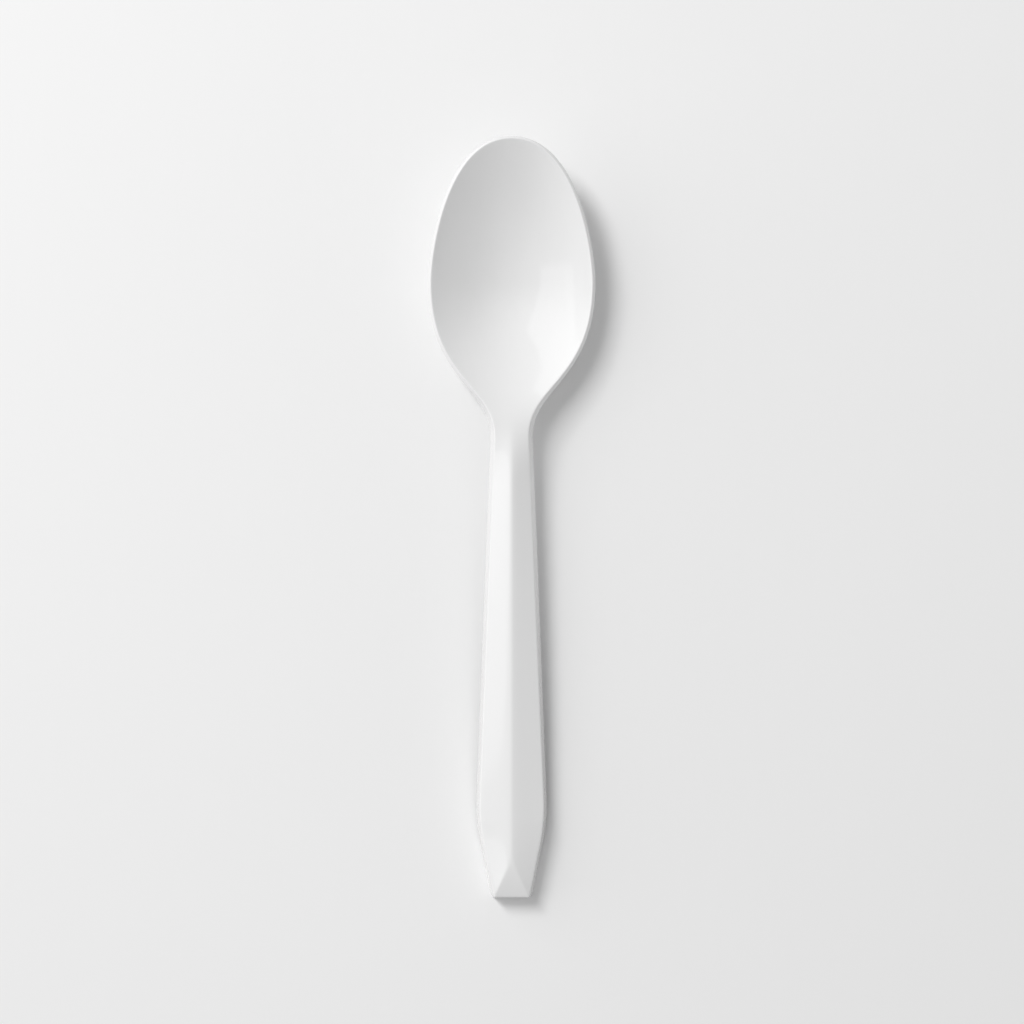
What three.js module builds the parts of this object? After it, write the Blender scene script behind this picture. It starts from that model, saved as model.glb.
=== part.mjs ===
// White plastic teaspoon, moulded in one piece: an egg-shaped bowl, a flat neck and a roof-shaped handle
// with a side wall that runs all round it and fades into the rim of the bowl.
// Millimetres. +Y points to the tip of the bowl, +Z is up, and the origin lies on the resting plane under the
// middle of the spoon. Stations along the spoon are measured from the upper edge of the handle's end.

import * as THREE from "three";
import { mergeVertices } from "three/addons/utils/BufferGeometryUtils.js";

const { clamp, degToRad, lerp, smoothstep } = THREE.MathUtils;

// Lengths along the spoon
const HANDLE_LENGTH = 90.3; // end of the handle to the narrowest part of the neck
const FLARE_LENGTH = 30.6; // neck to the widest part of the bowl
const BOWL_FRONT = 28; // widest part of the bowl to the upper edge of its tip
const END_TAPER = 15; // end of the handle to its widest part
const END_FACET = 7.6; // sloped triangular facet at the end of the handle
const FOOT_LENGTH = 4; // flat foot under the end of the handle
const FOOT_BEND = 8; // length in which the lower edge of the side wall leaves the foot
const ROOF_FADE = 9; // length before the neck in which the roof of the handle flattens
const ROOF_OVERRUN = 5; // length that the flattening roof runs on past the neck
const SKIRT_FADE = 14; // length in which the side wall shrinks into the rim of the bowl
const DISH_START = 3; // neck to the start of the hollow

// Widths between the upper edges
const BOWL_WIDTH = 31.7;
const NECK_WIDTH = 6.75;
const GRIP_WIDTH = 13;
const END_WIDTH = 7;
const GRIP_ROUND = 4.5; // rounding of the handle's widest corner, along each side

// Heights and slopes
const BOWL_DEPTH = 8.7; // below the rim, in the middle of the bowl
const RIM_PITCH = 10.5; // degrees, rise of the rim towards the tip
const END_HEIGHT = 7.3; // height of the ridge line where it meets the end
const HANDLE_PITCH = 2.1; // degrees, rise of the ridge towards the neck
const FOOT_PITCH = 4.6; // degrees, rise of the side wall's lower edge
const ROOF_HEIGHT = 2.1; // fall of the roof from the ridge to each shoulder
const RIDGE_SOFT = 0.6; // half-width of the rounded ridge along the handle
const NECK_SOFT = 0.8; // the same where the ridge starts at the neck
const END_SPREAD = 0.63; // how far the side wall spreads out to its lower edge, at the end of the handle
const NECK_SPREAD = 0.8; // the same at the neck
const RIM_LEAN = 36; // degrees, lean of the rim's outer face beside the bowl
const TIP_LEAN = 24; // degrees, the same at the tip

// Walls
const BOWL_WALL = 1.05;
const HANDLE_WALL = 1.2;
const FOOT_WALL = 1.1; // thickness of the side wall, measured across its lower edge

// Fullness of the curved outline: lengths of the curve handles
const FLARE_NECK_PULL = 10.7;
const FLARE_BOWL_PULL = 19.2;
const FRONT_SIDE_PULL = 6.3;
const FRONT_TIP_PULL = 12.5;

// Mesh steps
const COLUMNS = 10; // from the centre line to an upper edge
const TAPER_STEPS = 2;
const CORNER_STEPS = 5;
const SIDE_STEPS = 8;
const FADE_STEPS = 9;
const FLARE_STEPS = 20;
const FRONT_STEPS = 18;
const DIP_STEPS = 200; // in the search for the lowest point of the bowl
const MERGE_DISTANCE = 1e-3; // points closer than this become one

// Derived stations and slopes
const POLE = HANDLE_LENGTH + FLARE_LENGTH;
const ROOF_FULL = HANDLE_LENGTH - ROOF_FADE;
const DISH_BACK = FLARE_LENGTH - DISH_START;
const RISE = Math.tan(degToRad(HANDLE_PITCH));
const FOOT_RISE = Math.tan(degToRad(FOOT_PITCH));
const RIM_RISE = Math.tan(degToRad(RIM_PITCH));
const RIM_HEIGHT = BOWL_DEPTH + BOWL_WALL + bowlDip();

// Share of the roof left at a station: 1 along the handle, 0 on the way into the bowl
function roofShare(s) {
  return 1 - smoothstep(s, ROOF_FULL, HANDLE_LENGTH + ROOF_OVERRUN);
}

// Half-width of the roof at a station, with the handle's widest corner left sharp
function roofHalf(s) {
  if (s < END_TAPER) return lerp(END_WIDTH, GRIP_WIDTH, s / END_TAPER) / 2;
  const t = clamp((s - END_TAPER) / (HANDLE_LENGTH - END_TAPER), 0, 1);
  return lerp(GRIP_WIDTH, NECK_WIDTH, t) / 2;
}

// Height of the centre line of the roof, the neck and the plane of the bowl's rim, which is as high as rim
// beside the middle of the bowl
function crown(s, rim = RIM_HEIGHT) {
  if (s <= ROOF_FULL) return END_HEIGHT + RISE * s;
  if (s >= POLE) return rim + RIM_RISE * (s - POLE);
  const span = POLE - ROOF_FULL;
  const t = (s - ROOF_FULL) / span;
  const start = END_HEIGHT + RISE * ROOF_FULL;
  const stay = 2 * t ** 3 - 3 * t ** 2 + 1;
  const leave = RISE * span * (t ** 3 - 2 * t ** 2 + t);
  const arrive = RIM_RISE * span * (t ** 3 - t ** 2);
  return start * stay + leave + arrive + rim * (1 - stay);
}

// Fall of a slope of one to one from a rounded ridge to a point beside it
function bow(x, soft) {
  return Math.hypot(x, soft) - soft;
}

// Fall of the roof from its ridge to a point beside it
function roofFall(x, s) {
  const share = roofShare(s);
  const soft = lerp(NECK_SOFT, RIDGE_SOFT, share);
  return (ROOF_HEIGHT * share * bow(x, soft)) / bow(roofHalf(s), soft);
}

// Half-width of the end facet at a station
function facetReach(s) {
  return (END_WIDTH / 2) * (1 - s / END_FACET);
}

// Height of the sloped facet that cuts the ridge at the end of the handle
function facetHeight(s) {
  return crown(s) - roofFall(facetReach(s), s);
}

// Depth of the bowl along the centre line
function dishDepth(s) {
  if (s >= POLE) return BOWL_DEPTH;
  const t = clamp(1 - (POLE - s) / DISH_BACK, 0, 1);
  return (BOWL_DEPTH * (1 - Math.cos(Math.PI * t))) / 2;
}

// How much lower the bowl's lowest point is than its middle, because the rim rises towards the tip
function bowlDip() {
  const level = BOWL_DEPTH + BOWL_WALL;
  let dip = 0;
  for (let k = 0; k <= DIP_STEPS; k++) {
    const s = lerp(HANDLE_LENGTH, POLE, k / DIP_STEPS);
    dip = Math.max(dip, BOWL_WALL - (crown(s, level) - dishDepth(s)));
  }
  return dip;
}

// Height of the upper side at plan point (x, s); u runs from 0 on the centre line to 1 on the upper edge
function upperHeight(x, s, u) {
  const height = crown(s) - roofFall(x, s) - dishDepth(s) * (1 - u * u);
  return s < END_FACET ? Math.min(height, facetHeight(s)) : height;
}

// Height of the side wall's lower edge: a flat foot at the end, then a steady rise to the neck
function footHeight(s) {
  const past = s - FOOT_LENGTH;
  if (past <= 0) return 0;
  if (past < FOOT_BEND) return (FOOT_RISE * past ** 2) / (2 * FOOT_BEND);
  return FOOT_RISE * (past - FOOT_BEND / 2);
}

// Share of the handle's side wall at a station: 1 along the handle, 0 on the bowl
function skirtShare(s) {
  return 1 - smoothstep(s, HANDLE_LENGTH, HANDLE_LENGTH + SKIRT_FADE);
}

// The right upper edge seen from above, from the corner of the end to the tip
function edgePoints() {
  const end = new THREE.Vector2(END_WIDTH / 2, 0);
  const grip = new THREE.Vector2(GRIP_WIDTH / 2, END_TAPER);
  const neck = new THREE.Vector2(NECK_WIDTH / 2, HANDLE_LENGTH);
  const wide = new THREE.Vector2(BOWL_WIDTH / 2, POLE);
  const tip = new THREE.Vector2(0, POLE + BOWL_FRONT);
  const side = neck.clone().sub(grip).normalize();
  const taper = grip.clone().sub(end).normalize();
  const facetTop = end.clone().lerp(grip, END_FACET / END_TAPER);
  const roundStart = grip.clone().addScaledVector(taper, -GRIP_ROUND);
  const roundEnd = grip.clone().addScaledVector(side, GRIP_ROUND);
  const fadeStart = grip.clone().lerp(neck, (ROOF_FULL - END_TAPER) / (HANDLE_LENGTH - END_TAPER));
  const neckPull = neck.clone().addScaledVector(side, FLARE_NECK_PULL);
  const bowlPull = new THREE.Vector2(wide.x, wide.y - FLARE_BOWL_PULL);
  const frontPull = new THREE.Vector2(wide.x, wide.y + FRONT_SIDE_PULL);
  const tipPull = new THREE.Vector2(FRONT_TIP_PULL, tip.y);
  const runs = [
    [new THREE.LineCurve(end, facetTop), COLUMNS],
    [new THREE.LineCurve(facetTop, roundStart), TAPER_STEPS],
    [new THREE.QuadraticBezierCurve(roundStart, grip, roundEnd), CORNER_STEPS],
    [new THREE.LineCurve(roundEnd, fadeStart), SIDE_STEPS],
    [new THREE.LineCurve(fadeStart, neck), FADE_STEPS],
    [new THREE.CubicBezierCurve(neck, neckPull, bowlPull, wide), FLARE_STEPS],
    [new THREE.CubicBezierCurve(wide, frontPull, tipPull, tip), FRONT_STEPS],
  ];
  const points = [end];
  for (const [curve, steps] of runs) points.push(...curve.getSpacedPoints(steps).slice(1));
  points[points.length - 1].x = 0;
  return points;
}

// Plan direction that moves an edge point outwards by one unit on both of its sides
function outward(before, point, after) {
  const first = point.clone().sub(before).normalize();
  const second = after.clone().sub(point).normalize();
  const a = new THREE.Vector2(first.y, -first.x);
  const b = new THREE.Vector2(second.y, -second.x);
  return a.clone().add(b).divideScalar(1 + a.dot(b));
}

// Stations of the right half: upper edge point, outward direction, centre line point and column shares
function makeStations() {
  const edge = edgePoints();
  const last = edge.length - 1;
  return edge.map((point, i) => {
    const before = i === 0 ? new THREE.Vector2(-point.x, point.y) : edge[i - 1];
    const after = i === last ? new THREE.Vector2(-edge[i - 1].x, edge[i - 1].y) : edge[i + 1];
    const centre = new THREE.Vector2(0, Math.min(point.y, POLE));
    return { point, centre, out: outward(before, point, after), shares: columnShares(i, point) };
  });
}

// Shares of the half-width at which the columns lie; at the end one column follows the edge of the facet
function columnShares(i, point) {
  const shares = [];
  const inside = COLUMNS - i;
  const crease = inside > 0 ? facetReach(point.y) / point.x : 0;
  for (let j = 0; j <= COLUMNS; j++) {
    if (inside <= 0) shares.push(j / COLUMNS);
    else if (j <= inside) shares.push((crease * j) / inside);
    else shares.push(lerp(crease, 1, (j - inside) / i));
  }
  shares[COLUMNS] = 1;
  return shares;
}

// Point of the upper side at station and share
function upperPoint(station, u) {
  const plan = station.centre.clone().lerp(station.point, u);
  return new THREE.Vector3(plan.x, plan.y, upperHeight(plan.x, plan.y, u));
}

// Unit normal of the upper side at a grid point inside its edge, with the other half mirrored in
function upperNormal(upper, i, j) {
  const last = upper.length - 1;
  const mirrored = (p) => new THREE.Vector3(-p.x, p.y, p.z);
  const ahead = i === last ? mirrored(upper[i - 1][j]) : upper[i + 1][j];
  const behind = i === 0 ? upper[i][j] : upper[i - 1][j];
  const left = j === 0 ? mirrored(upper[i][1]) : upper[i][j - 1];
  const normal = upper[i][j + 1].clone().sub(left).cross(ahead.clone().sub(behind));
  const atPole = j === 0 && upper[i][0].y >= POLE;
  return (atPole ? new THREE.Vector3(0, -RIM_RISE, 1) : normal).normalize();
}

// Outer edge of the bowl's rim, a wall's thickness below and outside the upper edge
function rimPoint({ point, out }) {
  const lean = degToRad(lerp(RIM_LEAN, TIP_LEAN, Math.max(out.y, 0) ** 2));
  const plan = point.clone().addScaledVector(out, BOWL_WALL * Math.sin(lean));
  const height = upperHeight(point.x, point.y, 1) - BOWL_WALL * Math.cos(lean);
  return new THREE.Vector3(plan.x, plan.y, height);
}

// Lower edge of the handle's side wall at a station, outside and inside
function skirtPoints({ point, out }) {
  const height = footHeight(point.y);
  const spread = lerp(END_SPREAD, NECK_SPREAD, point.y / HANDLE_LENGTH);
  const outer = point.clone().addScaledVector(out, spread);
  const inner = outer.clone().addScaledVector(out, -FOOT_WALL);
  return [outer, inner].map((plan) => new THREE.Vector3(plan.x, plan.y, height));
}

// Handle-type point of the underside at station and share
function underPoint(station, u) {
  const inset = FOOT_WALL * Math.max(0, 1 - station.point.y / END_FACET);
  const centre = station.centre.clone();
  centre.y += inset;
  const edge = station.point.clone().addScaledVector(station.out, -FOOT_WALL);
  const plan = centre.clone().lerp(edge, u);
  const share = (u * (station.point.x - FOOT_WALL)) / Math.max(station.point.x, FOOT_WALL);
  const height = upperHeight(plan.x, plan.y, Math.max(share, 0)) - HANDLE_WALL;
  return new THREE.Vector3(plan.x, plan.y, height);
}

// One chain of points per station, over the upper side, round the edge and back along the underside
function makeChains(stations) {
  const upper = stations.map((station) => station.shares.map((u) => upperPoint(station, u)));
  return stations.map((station, i) => {
    const skirt = skirtShare(station.point.y);
    const rim = rimPoint(station);
    const lower = skirtPoints(station).map((point) => rim.clone().lerp(point, skirt));
    const under = upper[i].map((point, j) => {
      const inside = () => point.clone().addScaledVector(upperNormal(upper, i, j), -BOWL_WALL);
      const bowl = j === COLUMNS ? rim.clone() : inside();
      return bowl.lerp(underPoint(station, station.shares[j]), skirt);
    });
    return [...upper[i], ...lower, ...under.reverse()];
  });
}

// Rows that close the end of the handle: outer foot, inner foot and the first row of the underside
function endRows(chain) {
  const upper = chain.slice(0, COLUMNS + 1);
  const outer = chain[COLUMNS + 1];
  const inner = chain[COLUMNS + 2];
  const under = chain.slice(COLUMNS + 3).reverse();
  const row = (foot) =>
    upper.map((p) => new THREE.Vector3((p.x * foot.x) / upper[COLUMNS].x, foot.y, foot.z));
  return [under, row(inner), row(outer), upper];
}

// Triangles of the quads between neighbouring rows
function weave(rows, triangles) {
  for (let i = 0; i + 1 < rows.length; i++) {
    for (let j = 0; j + 1 < rows[i].length; j++) {
      const a = rows[i][j];
      const b = rows[i][j + 1];
      const c = rows[i + 1][j + 1];
      const d = rows[i + 1][j];
      triangles.push([a, b, d], [b, c, d]);
    }
  }
}

// Closed geometry of the whole spoon from the triangles of its right half
function closedGeometry(half) {
  const positions = [];
  for (const [a, b, c] of half) {
    for (const p of [a, b, c]) positions.push(p.x, p.y, p.z);
    for (const p of [a, c, b]) positions.push(-p.x, p.y, p.z);
  }
  const soup = new THREE.BufferGeometry();
  soup.setAttribute("position", new THREE.Float32BufferAttribute(positions, 3));
  const merged = mergeVertices(soup, MERGE_DISTANCE);
  const corners = merged.index.array;
  const kept = [];
  for (let k = 0; k < corners.length; k += 3) {
    const [a, b, c] = corners.slice(k, k + 3);
    if (a !== b && b !== c && c !== a) kept.push(a, b, c);
  }
  merged.setIndex(kept);
  return merged;
}

function makeSpoon() {
  const chains = makeChains(makeStations());
  const half = [];
  weave(chains, half);
  weave(endRows(chains[0]), half);
  const geometry = closedGeometry(half);
  geometry.computeBoundingBox();
  const { min, max } = geometry.boundingBox;
  geometry.translate(0, -(min.y + max.y) / 2, -min.z);
  geometry.computeVertexNormals();
  const plastic = new THREE.MeshStandardMaterial({ color: 0xf1f1ef, roughness: 0.3 });
  const mesh = new THREE.Mesh(geometry, plastic);
  mesh.name = "spoon_moulding";
  return mesh;
}

const spoon = new THREE.Group();
spoon.name = "plastic_spoon";
spoon.add(makeSpoon());

export default spoon;
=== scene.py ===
"""White plastic teaspoon, moulded in one piece, on a pale table under soft studio lamps.

Lengths on the spoon are in millimetres, as on a drawing, and become metres where a mesh takes its place.
Stations run along the spoon from the upper edge of the handle's end towards the tip of the bowl.
"""

import logging
import math
from dataclasses import dataclass
from enum import Enum
from functools import cached_property

import bmesh
import bpy
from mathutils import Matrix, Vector


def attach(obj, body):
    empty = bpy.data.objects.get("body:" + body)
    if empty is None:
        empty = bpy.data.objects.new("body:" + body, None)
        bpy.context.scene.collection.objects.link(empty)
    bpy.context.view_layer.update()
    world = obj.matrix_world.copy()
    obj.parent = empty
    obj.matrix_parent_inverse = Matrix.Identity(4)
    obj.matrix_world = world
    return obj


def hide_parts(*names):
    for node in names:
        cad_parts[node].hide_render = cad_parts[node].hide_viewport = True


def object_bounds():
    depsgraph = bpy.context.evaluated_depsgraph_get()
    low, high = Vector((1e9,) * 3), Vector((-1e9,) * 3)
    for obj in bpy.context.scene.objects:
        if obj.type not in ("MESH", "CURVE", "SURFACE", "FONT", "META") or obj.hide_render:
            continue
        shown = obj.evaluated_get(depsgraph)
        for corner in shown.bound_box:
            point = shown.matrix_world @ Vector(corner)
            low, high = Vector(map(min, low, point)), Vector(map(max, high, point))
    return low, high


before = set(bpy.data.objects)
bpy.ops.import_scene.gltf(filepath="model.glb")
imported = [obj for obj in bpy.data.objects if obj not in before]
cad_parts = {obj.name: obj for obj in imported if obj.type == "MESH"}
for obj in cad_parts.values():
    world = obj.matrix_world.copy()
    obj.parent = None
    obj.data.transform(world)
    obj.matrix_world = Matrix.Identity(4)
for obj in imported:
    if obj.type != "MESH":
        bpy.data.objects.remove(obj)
CAD_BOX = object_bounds()

LOG = logging.getLogger("spoon")
MM = 0.001
BODY = "root"
NODE = "spoon_moulding"

# Halvings in the search for a point on a curve
HALVINGS = 32
# Largest part of a side that the rounding of one corner takes
ROUNDING_SHARE = 0.45

NodeValue = bpy.types.NodeSocket | float


def lerp(a: float, b: float, share: float) -> float:
    """Value that lies a share of the way from a to b."""
    return a + (b - a) * share


def smoothstep(value: float, low: float, high: float) -> float:
    """Smooth rise from 0 at low to 1 at high."""
    t = min(max((value - low) / (high - low), 0.0), 1.0)
    return t * t * (3 - 2 * t)


def soft_min(a: float, b: float, width: float) -> float:
    """Smaller of a and b, rounded where they differ by less than width."""
    overlap = max(width - abs(a - b), 0.0) / width
    return min(a, b) - overlap * overlap * width / 4


def bow(x: float, soft: float) -> float:
    """Fall of a slope of one to one from a rounded ridge to a point beside it."""
    return math.hypot(x, soft) - soft


def bezier(points: tuple[Vector, ...], t: float) -> Vector:
    """Find a point on a curve.

    Args:
        points: Control points of the curve.
        t: Place on it, from 0 at its start to 1 at its end.

    Returns:
        The point.
    """
    row = list(points)
    while len(row) > 1:
        row = [a.lerp(b, t) for a, b in zip(row, row[1:])]
    return row[0]


def bezier_at(points: tuple[Vector, ...], station: float) -> Vector:
    """Find the point where a curve that only rises passes a station.

    Args:
        points: Control points as (half-width, station).
        station: Station to find.

    Returns:
        The point on the curve.
    """
    low, high = 0.0, 1.0
    for _ in range(HALVINGS):
        middle = (low + high) / 2
        if bezier(points, middle).y < station:
            low = middle
        else:
            high = middle
    return bezier(points, low)


def fillet(
    before: Vector, corner: Vector, after: Vector, radius: float, shares: list[float]
) -> list[Vector]:
    """Round a corner.

    Args:
        before: Point that the line comes from.
        corner: Sharp corner.
        after: Point that the line goes to.
        radius: Length that the rounding takes from each side.
        shares: Places on the rounding, from 0 at its start to 1 at its end.

    Returns:
        One point for each share.
    """
    reach_in = min(radius, ROUNDING_SHARE * (before - corner).length)
    reach_out = min(radius, ROUNDING_SHARE * (after - corner).length)
    start = corner + (before - corner).normalized() * reach_in
    end = corner + (after - corner).normalized() * reach_out
    return [bezier((start, corner, end), t) for t in shares]


@dataclass(frozen=True)
class SpoonShape:
    """Sizes of the spoon and the surfaces that follow from them."""

    # Lengths along the spoon
    handle_length: float = 90.3
    flare_length: float = 30.6
    bowl_front: float = 28.0
    end_taper: float = 15.0
    end_facet: float = 7.6
    facet_blend: float = 1.0
    foot_length: float = 4.0
    foot_bend: float = 8.0
    roof_fade: float = 9.0
    roof_overrun: float = 5.0
    skirt_fade: float = 14.0
    dish_start: float = 3.0

    # Widths
    bowl_width: float = 31.7
    neck_width: float = 6.75
    grip_width: float = 13.0
    end_width: float = 7.0
    grip_round: float = 4.5

    # Heights, slopes and how soft the creases are
    bowl_depth: float = 8.7
    rim_pitch: float = math.radians(10.5)
    end_height: float = 7.3
    handle_pitch: float = math.radians(2.1)
    foot_pitch: float = math.radians(4.6)
    facet_pitch: float = math.radians(12.0)
    roof_height: float = 2.1
    ridge_soft: float = 0.6
    neck_soft: float = 0.8
    facet_soft: float = 0.15

    # Spread of the side wall down to its lower edge, and lean of the rim's outer face
    end_spread: float = 0.63
    neck_spread: float = 0.8
    rim_lean: float = math.radians(36.0)
    tip_lean: float = math.radians(24.0)

    # Walls
    bowl_wall: float = 1.05
    handle_wall: float = 1.2
    foot_wall: float = 1.1

    # Pulls of the curves that make the outline of the bowl
    flare_neck_pull: float = 10.7
    flare_bowl_pull: float = 19.2
    front_side_pull: float = 6.3
    front_tip_pull: float = 12.5

    # Roundings of the edges
    shoulder_round: float = 0.26
    foot_round: float = 0.1
    channel_round: float = 0.45
    corner_round: float = 0.3

    # Steps in the search for the lowest point of the bowl
    dip_steps: int = 200

    @property
    def pole(self) -> float:
        """Station of the widest part of the bowl."""
        return self.handle_length + self.flare_length

    @property
    def roof_full(self) -> float:
        """Station where the roof of the handle starts to flatten."""
        return self.handle_length - self.roof_fade

    @cached_property
    def rim_height(self) -> float:
        """Height of the rim beside the middle of the bowl.

        Returns:
            The height that puts the bowl's lowest point on the table.
        """
        level = self.bowl_depth + self.bowl_wall
        shares = [k / self.dip_steps for k in range(self.dip_steps + 1)]
        stations = [lerp(self.handle_length, self.pole, share) for share in shares]
        lowest = min(self.crown_to(s, level) - self.dish(s) for s in stations)
        return level + self.bowl_wall - lowest

    def roof_share(self, s: float) -> float:
        """Share of the handle's roof left at a station: 1 along the handle, 0 past the neck."""
        return 1 - smoothstep(s, self.roof_full, self.handle_length + self.roof_overrun)

    def roof_half(self, s: float) -> float:
        """Half-width of the roof, with the handle's widest corner left sharp.

        Args:
            s: Station.

        Returns:
            The half-width.
        """
        if s < self.end_taper:
            return lerp(self.end_width, self.grip_width, s / self.end_taper) / 2
        share = min((s - self.end_taper) / (self.handle_length - self.end_taper), 1.0)
        return lerp(self.grip_width, self.neck_width, share) / 2

    def crown(self, s: float) -> float:
        """Height of the centre line of the roof, the neck and the plane of the bowl's rim."""
        return self.crown_to(s, self.rim_height)

    def crown_to(self, s: float, rim: float) -> float:
        """Height of the centre line for one height of the rim beside the middle of the bowl.

        Args:
            s: Station.
            rim: Height of the rim.

        Returns:
            The height above the table.
        """
        rise = math.tan(self.handle_pitch)
        rim_rise = math.tan(self.rim_pitch)
        if s <= self.roof_full:
            return self.end_height + rise * s
        if s >= self.pole:
            return rim + rim_rise * (s - self.pole)
        span = self.pole - self.roof_full
        t = (s - self.roof_full) / span
        stay = 2 * t**3 - 3 * t**2 + 1
        leave = rise * span * (t**3 - 2 * t**2 + t)
        arrive = rim_rise * span * (t**3 - t**2)
        start = self.end_height + rise * self.roof_full
        return start * stay + leave + arrive + rim * (1 - stay)

    def roof_fall(self, x: float, s: float) -> float:
        """Fall of the roof from its ridge to a point beside it.

        Args:
            x: Distance from the centre line.
            s: Station.

        Returns:
            The fall.
        """
        share = self.roof_share(s)
        soft = lerp(self.neck_soft, self.ridge_soft, share)
        return self.roof_height * share * bow(x, soft) / bow(self.roof_half(s), soft)

    def facet_height(self, s: float) -> float:
        """Height of the sloped facet that cuts the ridge at the end of the handle.

        Args:
            s: Station.

        Returns:
            The height above the table, also a little past the facet, where it rounds the ridge.
        """
        if s >= self.end_facet:
            return self.crown(s) + math.tan(self.facet_pitch) * (s - self.end_facet)
        return self.crown(s) - self.roof_fall(self.facet_reach(s), s)

    def facet_reach(self, s: float) -> float:
        """Half-width of the end facet at a station."""
        return self.end_width / 2 * max(1 - s / self.end_facet, 0.0)

    def dish(self, s: float) -> float:
        """Depth of the bowl along the centre line.

        Args:
            s: Station.

        Returns:
            The depth below the plane of the rim.
        """
        if s >= self.pole:
            return self.bowl_depth
        start = self.handle_length + self.dish_start
        t = min(max((s - start) / (self.pole - start), 0.0), 1.0)
        return self.bowl_depth * (1 - math.cos(math.pi * t)) / 2

    def upper(self, x: float, s: float, u: float) -> float:
        """Height of the upper side.

        Args:
            x: Distance from the centre line.
            s: Station.
            u: Share of the way from the centre line, or the bowl's middle, to the upper edge.

        Returns:
            The height above the table.
        """
        height = self.crown(s) - self.roof_fall(x, s) - self.dish(s) * (1 - u * u)
        if s < self.end_facet + self.facet_blend:
            height = soft_min(height, self.facet_height(s), self.facet_soft)
        return height

    def foot(self, s: float) -> float:
        """Height of the side wall's lower edge: a flat foot at the end, then a steady rise to the neck.

        Args:
            s: Station.

        Returns:
            The height above the table.
        """
        rise = math.tan(self.foot_pitch)
        past = s - self.foot_length
        if past <= 0:
            return 0.0
        if past < self.foot_bend:
            return rise * past**2 / (2 * self.foot_bend)
        return rise * (past - self.foot_bend / 2)

    def skirt_share(self, s: float) -> float:
        """Share of the handle's side wall at a station: 1 along the handle, 0 on the bowl."""
        return 1 - smoothstep(s, self.handle_length, self.handle_length + self.skirt_fade)

    def half_width(self, s: float) -> float:
        """Half-width between the upper edges behind the bowl's widest part.

        Args:
            s: Station.

        Returns:
            The half-width.
        """
        end = Vector((self.end_width / 2, 0.0))
        grip = Vector((self.grip_width / 2, self.end_taper))
        neck = Vector((self.neck_width / 2, self.handle_length))
        wide = Vector((self.bowl_width / 2, self.pole))
        taper = (grip - end).normalized()
        side = (neck - grip).normalized()
        round_start = grip - taper * self.grip_round
        round_end = grip + side * self.grip_round
        if s <= round_start.y:
            return end.x + taper.x / taper.y * s
        if s <= round_end.y:
            return bezier_at((round_start, grip, round_end), s).x
        if s <= neck.y:
            return neck.x + side.x / side.y * (s - neck.y)
        neck_pull = neck + side * self.flare_neck_pull
        bowl_pull = Vector((wide.x, wide.y - self.flare_bowl_pull))
        return bezier_at((neck, neck_pull, bowl_pull, wide), min(s, wide.y)).x

    def front_curve(self) -> tuple[Vector, ...]:
        """Curve of the bowl's front edge.

        Returns:
            Its control points from the side to the tip, seen from the bowl's middle.
        """
        half = self.bowl_width / 2
        side_pull = Vector((half, self.front_side_pull))
        tip_pull = Vector((self.front_tip_pull, self.bowl_front))
        return Vector((half, 0.0)), side_pull, tip_pull, Vector((0.0, self.bowl_front))


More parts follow.
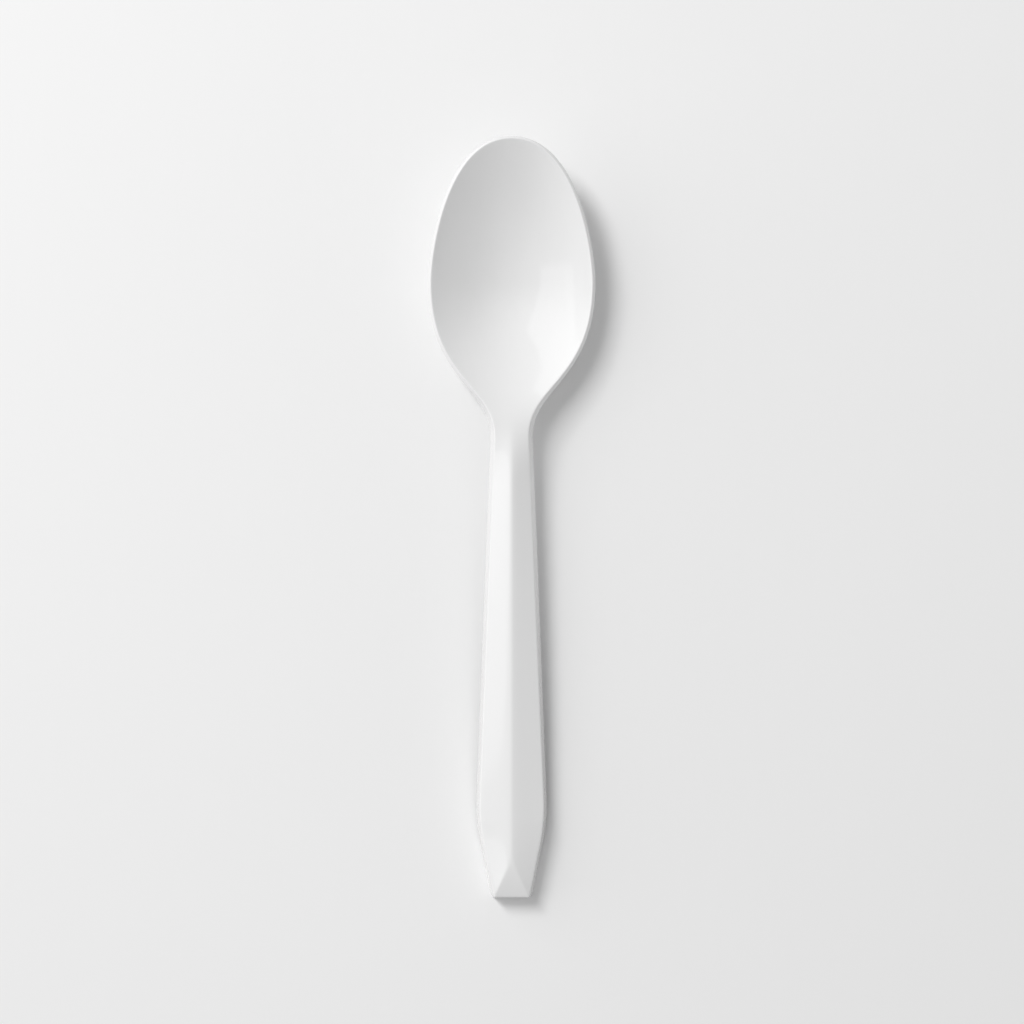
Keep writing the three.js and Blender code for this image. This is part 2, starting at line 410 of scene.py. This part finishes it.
@dataclass(frozen=True)
class SpoonNet:
    """Net of rows and columns over the spoon, with the place of each of its points.

    Rows up to the bowl's middle cross the spoon at one station each. The rows in front of it bend into
    the round front of the bowl, so that the last of them lies along the tip.
    """

    shape: SpoonShape
    columns: int = 20
    crease_columns: int = 5

    # Runs of even rows, each with the station where it ends, and the rows from there to the bowl's middle
    runs: tuple[tuple[float, int], ...] = ((16.0, 34), (72.0, 36), (104.0, 46))
    last_run: int = 20
    front_rows: int = 34

    # Steps of the roundings down the wall
    shoulder_steps: int = 4
    corner_steps: int = 3

    # Least sizes that keep the cells open, and the step that slopes are measured over
    least_crease: float = 0.5
    crease_margin: float = 0.45
    least_corner: float = 0.15
    probe: float = 0.01

    @cached_property
    def stations(self) -> list[float]:
        """Stations of the rows up to the bowl's middle.

        Returns:
            One station for each row.
        """
        places = [0.0]
        for end, count in (*self.runs, (self.shape.pole, self.last_run)):
            start = places[-1]
            places += [lerp(start, end, (k + 1) / count) for k in range(count)]
        return places

    @property
    def back_rows(self) -> int:
        """Number of cells along the spoon behind the bowl's middle."""
        return sum(count for _, count in self.runs) + self.last_run

    @property
    def rows(self) -> int:
        """Number of cells along the whole spoon."""
        return self.back_rows + self.front_rows

    @property
    def outer_loops(self) -> int:
        """Number of loops down the outer wall, to the end of its lower corner."""
        return self.shoulder_steps + self.corner_steps + 1

    @property
    def wall_loops(self) -> int:
        """Number of loops down the whole wall, whose last corner ends at the edge of the underside."""
        return self.outer_loops + 2 * self.corner_steps + 1

    def column_share(self, column: int, s: float, half: float) -> float:
        """Share of the half-width at which a column lies.

        On the handle one column follows the crease of the end facet, then the edge of the rounded ridge.

        Args:
            column: Column, counted from the centre line.
            s: Station.
            half: Half-width there.

        Returns:
            The share, from 0 on the centre line to 1 on the edge.
        """
        shape = self.shape
        even = self.crease_columns / self.columns
        crease = max(min(shape.facet_reach(s), half - self.crease_margin), self.least_crease) / half
        knee = lerp(even, crease, shape.roof_share(s))
        if column <= self.crease_columns:
            return knee * column / self.crease_columns
        return lerp(knee, 1.0, (column - self.crease_columns) / (self.columns - self.crease_columns))

    def round_corner(self, x: float, s: float, edge: float, inset: float) -> tuple[float, float]:
        """Round the corner of the handle's end in plan.

        Args:
            x: Distance from the centre line.
            s: Station.
            edge: Half-width of the net there.
            inset: Distance that the net's outline keeps from the upper edge.

        Returns:
            The moved x and s.
        """
        radius = max(self.shape.corner_round - inset, self.least_corner)
        side = 1 - (edge - x) / radius
        end = 1 - (s - inset) / radius
        if side <= 0 or end <= 0:
            return x, s
        moved_side = side * math.sqrt(1 - end * end / 2)
        moved_end = end * math.sqrt(1 - side * side / 2)
        return edge - radius * (1 - moved_side), inset + radius * (1 - moved_end)

    def back_point(self, row: int, column: int, inset: float) -> tuple[float, float, float]:
        """Place on the right half of a row behind the bowl's middle.

        Args:
            row: Row of the net.
            column: Column, counted from the centre line.
            inset: Distance that the net's outline keeps from the upper edge.

        Returns:
            Distance from the centre line, station, and share of the way to the upper edge.
        """
        shape = self.shape
        s = self.stations[row]
        s += inset * max(0.0, 1 - s / shape.end_facet)
        half = shape.half_width(s)
        x = (half - inset) * self.column_share(column, s, half)
        x, s = self.round_corner(x, s, half - inset, inset)
        return x, s, x / shape.half_width(s)

    def front_ray(self, row: int, column: int) -> tuple[float, float]:
        """Place on the round front of the bowl.

        Args:
            row: Row in front of the bowl's middle.
            column: Column, counted from the centre line.

        Returns:
            Share of the way out from the middle, and place on the edge from 0 at the side to 1 at the tip.
        """
        across = column / self.columns
        along = (row - self.back_rows) / self.front_rows
        p = across * math.sqrt(1 - along * along / 2)
        q = along * math.sqrt(1 - across * across / 2)
        return math.hypot(p, q), math.atan2(q, p) / (math.pi / 2)

    def upper_point(self, row: int, column: int, inset: float) -> Vector:
        """Point of the upper side on the right half.

        Args:
            row: Row of the net.
            column: Column, counted from the centre line.
            inset: Distance that the net's outline keeps from the upper edge.

        Returns:
            The point as (x, station, height).
        """
        shape = self.shape
        if row <= self.back_rows:
            x, s, u = self.back_point(row, column, inset)
        else:
            out, turn = self.front_ray(row, column)
            rim = bezier(shape.front_curve(), turn)
            u = out * (1 - inset / rim.length)
            x, s = rim.x * u, shape.pole + rim.y * u
        return Vector((x, s, shape.upper(x, s, u)))

    def upper_normal(self, row: int, column: int, inset: float) -> Vector:
        """Normal of the upper side at the point that upper_point gives for the same arguments.

        Args:
            row: Row of the net.
            column: Column, counted from the centre line.
            inset: Distance that the net's outline keeps from the upper edge.

        Returns:
            The normal, of length 1.
        """
        shape = self.shape
        step = self.probe
        if row <= self.back_rows:
            x, s, _ = self.back_point(row, column, inset)
            behind = max(s - step, 0.0)
            ahead = min(s + step, shape.pole)
            slope_x = (self.height(x + step, s) - self.height(abs(x - step), s)) / (2 * step)
            slope_s = (self.height(x, ahead) - self.height(x, behind)) / (ahead - behind)
        else:
            out, turn = self.front_ray(row, column)
            rim = bezier(shape.front_curve(), turn)
            outward = self.front_direction(turn)
            u = out * (1 - inset / rim.length)
            steep = 2 * shape.bowl_depth * u / rim.dot(outward)
            slope_x = steep * outward.x
            slope_s = steep * outward.y + math.tan(shape.rim_pitch)
        return Vector((-slope_x, -slope_s, 1.0)).normalized()

    def front_direction(self, turn: float) -> Vector:
        """Plan direction that points out of the bowl's front edge.

        Args:
            turn: Place on the edge, from 0 at the side to 1 at the tip.

        Returns:
            The direction, of length 1.
        """
        curve = self.shape.front_curve()
        along = bezier(curve, min(turn + self.probe, 1.0)) - bezier(curve, max(turn - self.probe, 0.0))
        return Vector((along.y, -along.x)).normalized()

    def height(self, x: float, s: float) -> float:
        """Height of the upper side at a plan point behind the bowl's middle."""
        return self.shape.upper(x, s, x / self.shape.half_width(s))

    def under_point(self, row: int, column: int, inset: float) -> Vector:
        """Point of the underside below the point that upper_point gives for the same arguments.

        Args:
            row: Row of the net.
            column: Column, counted from the centre line.
            inset: Distance that the net's outline keeps from the upper edge.

        Returns:
            The point, square to the wall in the bowl and straight down in the handle.
        """
        shape = self.shape
        top = self.upper_point(row, column, inset)
        bowl = top - self.upper_normal(row, column, inset) * shape.bowl_wall
        handle = top - Vector((0.0, 0.0, shape.handle_wall))
        return bowl.lerp(handle, shape.skirt_share(top.y))

    def edge_direction(self, row: int, column: int) -> Vector:
        """Level direction that points out of the net at a point of its edge.

        Args:
            row: Row of the edge point.
            column: Column of the edge point, counted from the centre line.

        Returns:
            The direction, of length 1.
        """
        if row > self.back_rows:
            return self.front_direction(self.front_ray(row, column)[1]).to_3d()
        if column == 0:
            return Vector((0.0, -1.0, 0.0))
        if row > 0:
            before, after = (row - 1, column), (min(row + 1, self.back_rows), column)
        elif column < self.columns:
            before, after = (row, column - 1), (row, column + 1)
        else:
            before, after = (row, column - 1), (row + 1, column)
        here = self.upper_point(row, column, 0.0)
        arriving = (here - self.upper_point(*before, 0.0)).to_2d().normalized()
        leaving = (self.upper_point(*after, 0.0) - here).to_2d().normalized()
        along = arriving + leaving
        return Vector((along.y, -along.x, 0.0)).normalized()

    def wall_loop(self, row: int, column: int) -> list[Vector]:
        """Points down the wall at a point of the net's edge, from the upper side to the underside.

        Args:
            row: Row of the edge point.
            column: Column of the edge point, counted from the centre line.

        Returns:
            The points with every corner rounded, one for each of the wall's loops.
        """
        shape = self.shape
        upper = self.upper_point(row, column, shape.shoulder_round)
        shoulder = self.upper_point(row, column, 0.0)
        under = self.under_point(row, column, shape.foot_wall + shape.channel_round)
        channel = self.under_point(row, column, shape.foot_wall)
        inside = self.under_point(row, column, shape.foot_wall / 2)
        out = self.edge_direction(row, column)
        skirt = shape.skirt_share(shoulder.y)
        lean = lerp(shape.rim_lean, shape.tip_lean, max(out.y, 0.0) ** 2)
        outside = shoulder + (out * math.sin(lean) - Vector((0.0, 0.0, math.cos(lean)))) * shape.bowl_wall
        if skirt > 0:
            spread = lerp(shape.end_spread, shape.neck_spread, shoulder.y / shape.handle_length)
            foot = shoulder + out * spread
            foot.z = shape.foot(shoulder.y)
            outside = outside.lerp(foot, skirt)
            inside = inside.lerp(foot - out * shape.foot_wall, skirt)
        down = (outside - shoulder).normalized()
        bend = (upper, shoulder, shoulder + down * shape.shoulder_round)
        shares = [k / self.corner_steps for k in range(self.corner_steps + 1)]
        loop = [bezier(bend, (k + 1) / self.shoulder_steps) for k in range(self.shoulder_steps)]
        loop += fillet(shoulder, outside, inside, shape.foot_round, shares)
        loop += fillet(outside, inside, channel, shape.foot_round, shares)
        loop += fillet(inside, channel, under, shape.channel_round, shares[:-1])
        return loop


class MouldSide(Enum):
    """Halves of the mould, each of which leaves its own finish on the plastic."""

    CAVITY = "polished upper side and outer walls"
    CORE = "satin underside"


def add_math(
    tree: bpy.types.NodeTree, operation: str, first: NodeValue, second: NodeValue
) -> bpy.types.NodeSocket:
    """Add a node that works out one value from two.

    Args:
        tree: Tree to add the node to.
        operation: Name of the operation.
        first: Socket or constant.
        second: Socket or constant.

    Returns:
        The node's result.
    """
    node = tree.nodes.new("ShaderNodeMath")
    node.operation = operation
    for socket, value in zip(node.inputs, (first, second)):
        if isinstance(value, bpy.types.NodeSocket):
            tree.links.new(value, socket)
        else:
            socket.default_value = value
    return node.outputs[0]


@dataclass(frozen=True)
class UnevenSurface:
    """Node group with the slight unevenness that a surface has in tone, gloss and height.

    Waves are broad and shallow, flow marks are drawn out along the spoon, and grain is fine. Scales are
    features in a metre.
    """

    name: str = "uneven_surface"
    wave_scale: float = 85.0
    flow_scale: float = 420.0
    flow_stretch: float = 0.12
    grain_scale: float = 2400.0
    detail: float = 2.0
    middle: float = 0.5

    def group(self) -> bpy.types.NodeTree:
        """Make the node group at its first use.

        Returns:
            The group.
        """
        if self.name in bpy.data.node_groups:
            return bpy.data.node_groups[self.name]
        tree = bpy.data.node_groups.new(self.name, "ShaderNodeTree")
        face = tree.interface
        face.new_socket("Color", in_out="INPUT", socket_type="NodeSocketColor")
        for name in ("Roughness", "Tone", "Gloss", "Wave Height", "Grain Height"):
            face.new_socket(name, in_out="INPUT", socket_type="NodeSocketFloat")
        face.new_socket("Color", in_out="OUTPUT", socket_type="NodeSocketColor")
        for name in ("Roughness", "Height"):
            face.new_socket(name, in_out="OUTPUT", socket_type="NodeSocketFloat")
        self.fill(tree)
        return tree

    def fill(self, tree: bpy.types.NodeTree) -> None:
        """Add the group's nodes.

        Args:
            tree: The group, with its sockets.
        """
        given = tree.nodes.new("NodeGroupInput").outputs
        result = tree.nodes.new("NodeGroupOutput").inputs
        wave = self.noise(tree, self.wave_scale)
        flow = self.noise(tree, self.flow_scale, self.flow_stretch)
        grain = self.noise(tree, self.grain_scale)
        shade = add_math(tree, "MULTIPLY", add_math(tree, "ADD", wave, flow), given["Tone"])
        bright = tree.nodes.new("ShaderNodeVectorMath")
        bright.operation = "SCALE"
        tree.links.new(given["Color"], bright.inputs[0])
        tree.links.new(add_math(tree, "ADD", 1.0, shade), bright.inputs["Scale"])
        tree.links.new(bright.outputs[0], result["Color"])
        dull = add_math(tree, "MULTIPLY", flow, given["Gloss"])
        tree.links.new(add_math(tree, "ADD", given["Roughness"], dull), result["Roughness"])
        broad = add_math(tree, "MULTIPLY", wave, given["Wave Height"])
        fine = add_math(tree, "MULTIPLY", grain, given["Grain Height"])
        tree.links.new(add_math(tree, "ADD", broad, fine), result["Height"])

    def noise(self, tree: bpy.types.NodeTree, scale: float, stretch: float = 1.0) -> bpy.types.NodeSocket:
        """Add noise in the object's own coordinates.

        Args:
            tree: The group.
            scale: Number of features in a metre.
            stretch: Share of that number along the spoon.

        Returns:
            The noise, centred on 0.
        """
        place = tree.nodes.new("ShaderNodeTexCoord")
        mapping = tree.nodes.new("ShaderNodeMapping")
        mapping.inputs["Scale"].default_value = (1.0, stretch, 1.0)
        tree.links.new(place.outputs["Object"], mapping.inputs["Vector"])
        noise = tree.nodes.new("ShaderNodeTexNoise")
        noise.inputs["Scale"].default_value = scale
        noise.inputs["Detail"].default_value = self.detail
        tree.links.new(mapping.outputs["Vector"], noise.inputs["Vector"])
        return add_math(tree, "SUBTRACT", noise.outputs["Fac"], self.middle)


@dataclass(frozen=True)
class Finish:
    """Look of a surface. Heights are in metres."""

    name: str
    colour: tuple[float, float, float]
    roughness: float
    specular: float
    tone: float
    gloss: float
    wave_height: float
    grain_height: float

    def material(self) -> bpy.types.Material:
        """Make a material with this finish.

        Returns:
            The material.
        """
        material = bpy.data.materials.new(self.name)
        material.use_nodes = True
        tree = material.node_tree
        shader = tree.nodes["Principled BSDF"]
        shader.inputs["Specular IOR Level"].default_value = self.specular
        uneven = tree.nodes.new("ShaderNodeGroup")
        uneven.node_tree = UnevenSurface().group()
        values = {
            "Color": (*self.colour, 1.0),
            "Roughness": self.roughness,
            "Tone": self.tone,
            "Gloss": self.gloss,
            "Wave Height": self.wave_height,
            "Grain Height": self.grain_height,
        }
        for name, value in values.items():
            uneven.inputs[name].default_value = value
        # The group gives heights in metres, which the bump takes as they are
        bump = tree.nodes.new("ShaderNodeBump")
        bump.inputs["Distance"].default_value = 1.0
        tree.links.new(uneven.outputs["Height"], bump.inputs["Height"])
        tree.links.new(bump.outputs["Normal"], shader.inputs["Normal"])
        tree.links.new(uneven.outputs["Color"], shader.inputs["Base Color"])
        tree.links.new(uneven.outputs["Roughness"], shader.inputs["Roughness"])
        return material


@dataclass(frozen=True)
class PolishedPlastic(Finish):
    """White plastic from the polished half of the mould."""

    name: str = "white_plastic_polished"
    colour: tuple[float, float, float] = (0.79, 0.79, 0.79)
    roughness: float = 0.09
    specular: float = 0.62
    tone: float = 0.012
    gloss: float = 0.06
    wave_height: float = 8e-6
    grain_height: float = 3e-7


@dataclass(frozen=True)
class SatinPlastic(Finish):
    """White plastic from the half of the mould that is left satin."""

    name: str = "white_plastic_satin"
    colour: tuple[float, float, float] = (0.78, 0.78, 0.78)
    roughness: float = 0.36
    specular: float = 0.5
    tone: float = 0.016
    gloss: float = 0.1
    wave_height: float = 1.2e-5
    grain_height: float = 1.5e-6


@dataclass(frozen=True)
class TableTop(Finish):
    """Pale matt table top."""

    name: str = "pale_table"
    colour: tuple[float, float, float] = (0.86, 0.86, 0.86)
    roughness: float = 0.8
    specular: float = 0.1
    tone: float = 0.006
    gloss: float = 0.1
    wave_height: float = 0.0
    grain_height: float = 2e-6


@dataclass
class SpoonMoulding:
    """The spoon: a flat blank with a cell for each part of the net, pressed into shape."""

    shape: SpoonShape
    name: str = "spoon"

    def build(self) -> bpy.types.Object:
        """Build the spoon's mesh at its place in the frame.

        Returns:
            The spoon, without its finishes.
        """
        net = SpoonNet(self.shape)
        piece = self.make_blank(net)
        levels = self.press(piece, net)
        self.part_sides(piece, levels, net.outer_loops)
        bpy.ops.object.select_all(action="DESELECT")
        piece.select_set(True)
        bpy.context.view_layer.objects.active = piece
        bpy.ops.object.shade_smooth()
        # Broad faces set the normals at the narrow roundings beside them, so that flats stay flat
        bpy.ops.object.modifier_add(type="WEIGHTED_NORMAL")
        bpy.ops.object.modifier_apply(modifier=piece.modifiers[-1].name)
        return piece

    def make_blank(self, net: SpoonNet) -> bpy.types.Object:
        """Make a flat slab with cells of a millimetre and loops a millimetre apart down its edge.

        Args:
            net: Net that gives the number of cells.

        Returns:
            The slab, in object mode.
        """
        bpy.ops.object.select_all(action="DESELECT")
        bpy.ops.mesh.primitive_grid_add(x_subdivisions=2 * net.columns, y_subdivisions=net.rows, size=1.0)
        piece = bpy.context.object
        piece.name = self.name
        piece.data.name = self.name
        depth = (net.wall_loops + 1) * MM
        bpy.ops.object.mode_set(mode="EDIT")
        bpy.ops.mesh.select_all(action="SELECT")
        bpy.ops.transform.resize(value=(2 * net.columns * MM, net.rows * MM, 1.0))
        bpy.ops.mesh.extrude_region_move(TRANSFORM_OT_translate={"value": (0.0, 0.0, -depth)})
        cage = bmesh.from_edit_mesh(piece.data)
        bpy.ops.mesh.select_all(action="DESELECT")
        for edge in cage.edges:
            low, high = sorted(vert.co.z for vert in edge.verts)
            edge.select_set(high - low > MM)
        bmesh.update_edit_mesh(piece.data)
        bpy.ops.mesh.subdivide(number_cuts=net.wall_loops)
        bpy.ops.mesh.select_all(action="SELECT")
        bpy.ops.mesh.normals_make_consistent(inside=False)
        bpy.ops.object.mode_set(mode="OBJECT")
        return piece

    def press(self, piece: bpy.types.Object, net: SpoonNet) -> list[int]:
        """Move each point of the blank to its place on the spoon.

        Args:
            piece: The blank.
            net: Net that says where each point goes.

        Returns:
            The loop that each point lies on, from 0 on the upper side to the last on the underside.
        """
        shape = self.shape
        low = CAD_BOX[0]
        shift = Vector((0.0, low[1] / MM + shape.end_spread, low[2] / MM))
        under_inset = shape.foot_wall + shape.channel_round
        walls: dict[tuple[int, int], list[Vector]] = {}
        levels: list[int] = []
        for vert in piece.data.vertices:
            column = round(vert.co.x / MM)
            row = round(vert.co.y / MM + net.rows / 2)
            level = round(-vert.co.z / MM)
            levels.append(level)
            if level == 0:
                place = net.upper_point(row, abs(column), shape.shoulder_round)
            elif level > net.wall_loops:
                place = net.under_point(row, abs(column), under_inset)
            else:
                key = (row, abs(column))
                if key not in walls:
                    walls[key] = net.wall_loop(*key)
                place = walls[key][level - 1].copy()
            place.x *= -1 if column < 0 else 1
            vert.co = (place + shift) * MM
        piece.data.update()
        return levels

    def part_sides(self, piece: bpy.types.Object, levels: list[int], outer_loops: int) -> None:
        """Mark which half of the mould each face comes from.

        Args:
            piece: The spoon.
            levels: Loop that each of its points lies on.
            outer_loops: Last loop of the outer wall.
        """
        sides = list(MouldSide)
        for face in piece.data.polygons:
            outer = max(levels[vert] for vert in face.vertices) <= outer_loops
            face.material_index = sides.index(MouldSide.CAVITY if outer else MouldSide.CORE)

    def dress(self, piece: bpy.types.Object, finishes: dict[MouldSide, Finish]) -> None:
        """Give the spoon its finishes and its place in the frame.

        Args:
            piece: The spoon.
            finishes: Finish that each half of the mould leaves.
        """
        for side in MouldSide:
            piece.data.materials.append(finishes[side].material())
        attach(piece, BODY)
        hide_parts(NODE)


@dataclass
class PaleTable:
    """Plain pale table that the spoon lies on. Its size is in metres."""

    finish: Finish
    name: str = "table"
    size: float = 2.5

    def build(self) -> bpy.types.Object:
        """Add the table's top.

        Returns:
            The table top, with its finish.
        """
        bpy.ops.object.select_all(action="DESELECT")
        bpy.ops.mesh.primitive_plane_add(size=self.size)
        floor = bpy.context.object
        floor.name = self.name
        floor.data.materials.append(self.finish.material())
        return floor


@dataclass(frozen=True)
class SoftLamp:
    """Rectangular lamp that shines on the spoon from one side, in metres and watts.

    The zenith angle is measured from straight up, and the turn from the picture's left towards its top.
    A mirrored lamp also shows in the gloss of the plastic.
    """

    name: str
    zenith: float
    turn: float
    width: float
    depth: float
    power: float
    mirrored: bool = False
    distance: float = 1.2

    def build(self) -> bpy.types.Object:
        """Add the lamp, turned towards the spoon.

        Returns:
            The lamp.
        """
        flat = math.sin(self.zenith)
        towards = Vector((-flat * math.cos(self.turn), flat * math.sin(self.turn), math.cos(self.zenith)))
        turned = towards.to_track_quat("Z", "Y").to_euler()
        bpy.ops.object.light_add(type="AREA", location=towards * self.distance, rotation=turned)
        lamp = bpy.context.object
        lamp.name = self.name
        lamp.data.shape = "RECTANGLE"
        lamp.data.size = self.width
        lamp.data.size_y = self.depth
        lamp.data.energy = self.power
        lamp.visible_glossy = self.mirrored
        return lamp


def studio_lamps() -> tuple[SoftLamp, ...]:
    """Choose the lamps: a small key, a broad window that gleams in the bowl, and two low side lamps.

    Returns:
        The lamps, not yet built.
    """
    key = SoftLamp(
        "key_lamp",
        zenith=math.radians(34.0),
        turn=math.radians(48.0),
        width=0.25,
        depth=0.5,
        power=6.4,
        distance=1.1,
    )
    window = SoftLamp(
        "window_lamp",
        zenith=math.radians(58.0),
        turn=math.radians(20.0),
        width=2.35,
        depth=1.2,
        power=6.8,
        mirrored=True,
        distance=1.6,
    )
    side = SoftLamp(
        "side_lamp",
        zenith=math.radians(83.0),
        turn=math.radians(8.0),
        width=1.6,
        depth=0.22,
        power=1.7,
    )
    bounce = SoftLamp(
        "bounce_lamp",
        zenith=math.radians(80.0),
        turn=math.radians(200.0),
        width=1.8,
        depth=0.3,
        power=1.3,
    )
    return key, window, side, bounce


@dataclass
class StudioFill:
    """Even fill from all round, with a pale backdrop where the camera or a gloss looks past the table."""

    name: str = "studio"
    fill: float = 0.415
    backdrop: float = 0.95

    def build(self) -> bpy.types.World:
        """Add the fill as the scene's world.

        Returns:
            The world.
        """
        world = bpy.data.worlds.new(self.name)
        bpy.context.scene.world = world
        world.use_nodes = True
        tree = world.node_tree
        background = tree.nodes["Background"]
        background.inputs["Color"].default_value = (1.0, 1.0, 1.0, 1.0)
        path = tree.nodes.new("ShaderNodeLightPath")
        seen = add_math(tree, "MAXIMUM", path.outputs["Is Camera Ray"], path.outputs["Is Glossy Ray"])
        level = tree.nodes.new("ShaderNodeMapRange")
        level.inputs["To Min"].default_value = self.fill
        level.inputs["To Max"].default_value = self.backdrop
        tree.links.new(seen, level.inputs["Value"])
        tree.links.new(level.outputs["Result"], background.inputs["Strength"])
        return world


@dataclass
class TopCamera:
    """Camera that looks straight down on the spoon.

    The height, the field across the table and the centre are in metres, and the sensor in millimetres.
    """

    name: str = "camera"
    height: float = 0.7
    field: float = 0.2036
    centre: tuple[float, float] = (0.00008, 0.00171)
    sensor: float = 36.0

    def build(self) -> bpy.types.Object:
        """Add the camera and make it the scene's.

        Returns:
            The camera.
        """
        bpy.ops.object.camera_add(location=(*self.centre, self.height), rotation=(0.0, 0.0, 0.0))
        camera = bpy.context.object
        camera.name = self.name
        camera.data.sensor_width = self.sensor
        camera.data.lens = self.sensor * self.height / self.field
        bpy.context.scene.camera = camera
        return camera


def main() -> None:
    """Build the spoon, the table, the lamps, the fill and the camera."""
    logging.basicConfig(level=logging.INFO, format="%(name)s: %(message)s")
    LOG.info("CAD nodes in the frame: %d", len(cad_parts))
    moulding = SpoonMoulding(SpoonShape())
    spoon = moulding.build()
    moulding.dress(spoon, {MouldSide.CAVITY: PolishedPlastic(), MouldSide.CORE: SatinPlastic()})
    LOG.info("%s: %d faces", spoon.name, len(spoon.data.polygons))
    for part in (PaleTable(TableTop()), *studio_lamps(), StudioFill(), TopCamera()):
        LOG.info("%s", part.build().name)
    bpy.context.scene.view_settings.view_transform = "Standard"


if __name__ == "__main__":
    main()
